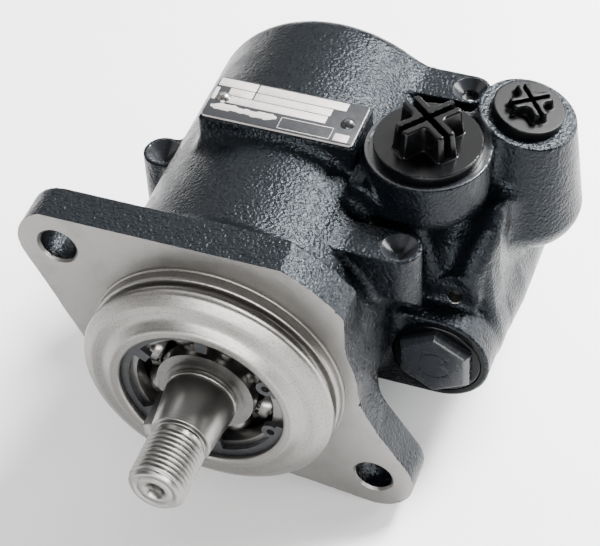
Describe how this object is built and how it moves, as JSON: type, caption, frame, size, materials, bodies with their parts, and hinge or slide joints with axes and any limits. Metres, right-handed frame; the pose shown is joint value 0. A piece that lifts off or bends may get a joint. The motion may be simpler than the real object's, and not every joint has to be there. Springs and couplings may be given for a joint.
{
  "type": "power steering pump",
  "caption": "Engine-driven hydraulic pump: cast body, two-bolt oval flange with pilot, keyed taper shaft, ball bearing, slotted vane rotor, flow valve, capped inlet and outlet.",
  "frame": {"origin": "centre of the pilot on the flange's mounting face, which is also the bolt pattern's centre", "axes": "+Y along the shaft towards the rear, so the threaded end points to -Y; +Z along the inlet port's axis, out of the port; +X towards the flow valve and the outlet"},
  "size_m": [0.1357, 0.1496, 0.0968],
  "materials": {
    "cast_housing": "black semi-gloss paint on a rough casting, flange face machined bare",
    "bearing_steel": "ground",
    "ball_steel": "polished",
    "cage_steel": "pressed sheet",
    "spring_steel": "phosphated",
    "seal_rubber": "matte",
    "shaft_steel": "turned and ground",
    "plate_iron": "machined",
    "bush_bronze": "plain",
    "plate_aluminium": "black print on bare aluminium",
    "rivet_black": "painted over",
    "plug_black": "painted steel",
    "cap_plastic": "moulded, slightly glossy"
  },
  "bodies": {
    "pump_body": {"housing": "cast_housing", "bearing_outer_ring": "bearing_steel", "bearing_circlip": "spring_steel", "shaft_seal": "seal_rubber", "locating_pins": "shaft_steel", "front_plate": "plate_iron", "cam_ring": "bearing_steel", "pressure_plate": "plate_iron", "plate_o_ring": "seal_rubber", "cover_o_ring": "seal_rubber", "journal_bush": "bush_bronze", "plate_spring": "spring_steel", "rear_cover": "plate_iron", "cover_snap_ring": "spring_steel", "name_plate": "plate_aluminium", "name_plate_rivets": "rivet_black", "valve_plug": "plug_black", "valve_plug_seal": "seal_rubber", "valve_spring": "spring_steel", "drilling_ball": "ball_steel"},
    "shaft": {"drive_shaft": "shaft_steel", "woodruff_key": "shaft_steel", "shaft_ring": "spring_steel", "bearing_inner_ring": "bearing_steel", "rotor": "shaft_steel", "rotor_clip": "spring_steel"},
    "ball_cage": {"bearing_balls": "ball_steel", "bearing_cage": "cage_steel"},
    "spool": {"flow_spool": "shaft_steel"},
    "inlet_cap": {"inlet_cap": "cap_plastic"},
    "outlet_cap": {"outlet_cap": "cap_plastic"},
    "body_vane_01": {"vane_01": "shaft_steel"},
    "body_vane_02": {"vane_02": "shaft_steel"},
    "body_vane_03": {"vane_03": "shaft_steel"},
    "body_vane_04": {"vane_04": "shaft_steel"},
    "body_vane_05": {"vane_05": "shaft_steel"},
    "body_vane_06": {"vane_06": "shaft_steel"},
    "body_vane_07": {"vane_07": "shaft_steel"},
    "body_vane_08": {"vane_08": "shaft_steel"},
    "body_vane_09": {"vane_09": "shaft_steel"},
    "body_vane_10": {"vane_10": "shaft_steel"}
  },
  "joints": [
    {"name": "shaft_spin", "type": "hinge", "parent": "pump_body", "child": "shaft", "pos_m": [0, 0, 0], "axis": [0, 1, 0], "continuous": true},
    {"name": "cage_spin", "type": "hinge", "parent": "pump_body", "child": "ball_cage", "pos_m": [0, 0, 0], "axis": [0, 1, 0], "continuous": true},
    {"name": "spool_slide", "type": "slide", "parent": "pump_body", "child": "spool", "axis": [0, 1, 0], "range_m": [0, 0.008], "stiffness_N_per_m": 1500, "springref_m": -0.004, "deforming": ["valve_spring"]},
    {"name": "inlet_cap_pull", "type": "slide", "parent": "pump_body", "child": "inlet_cap", "axis": [0, 0, 1], "range_m": [0, 0.03]},
    {"name": "outlet_cap_pull", "type": "slide", "parent": "pump_body", "child": "outlet_cap", "axis": [0.2028, 0, 0.9792], "range_m": [0, 0.03]},
    {"name": "vane_01_slide", "type": "slide", "parent": "shaft", "child": "body_vane_01", "axis": [1, 0, 0], "range_m": [0, 0.000449]},
    {"name": "vane_02_slide", "type": "slide", "parent": "shaft", "child": "body_vane_02", "axis": [0.809, 0, 0.5878], "range_m": [0, 0.000449]},
    {"name": "vane_03_slide", "type": "slide", "parent": "shaft", "child": "body_vane_03", "axis": [0.309, 0, 0.9511], "range_m": [0, 0.00179]},
    {"name": "vane_04_slide", "type": "slide", "parent": "shaft", "child": "body_vane_04", "axis": [-0.309, 0, 0.9511], "range_m": [0, 0.00262]},
    {"name": "vane_05_slide", "type": "slide", "parent": "shaft", "child": "body_vane_05", "axis": [-0.809, 0, 0.5878], "range_m": [0, 0.00179]},
    {"name": "vane_06_slide", "type": "slide", "parent": "shaft", "child": "body_vane_06", "axis": [-1, 0, 0], "range_m": [0, 0.000449]},
    {"name": "vane_07_slide", "type": "slide", "parent": "shaft", "child": "body_vane_07", "axis": [-0.809, 0, -0.5878], "range_m": [0, 0.000449]},
    {"name": "vane_08_slide", "type": "slide", "parent": "shaft", "child": "body_vane_08", "axis": [-0.309, 0, -0.9511], "range_m": [0, 0.00179]},
    {"name": "vane_09_slide", "type": "slide", "parent": "shaft", "child": "body_vane_09", "axis": [0.309, 0, -0.9511], "range_m": [0, 0.00262]},
    {"name": "vane_10_slide", "type": "slide", "parent": "shaft", "child": "body_vane_10", "axis": [0.809, 0, -0.5878], "range_m": [0, 0.00179]}
  ],
  "couplings": [
    {"joint": "cage_spin", "follows": "shaft_spin", "ratio": 0.3815}
  ]
}
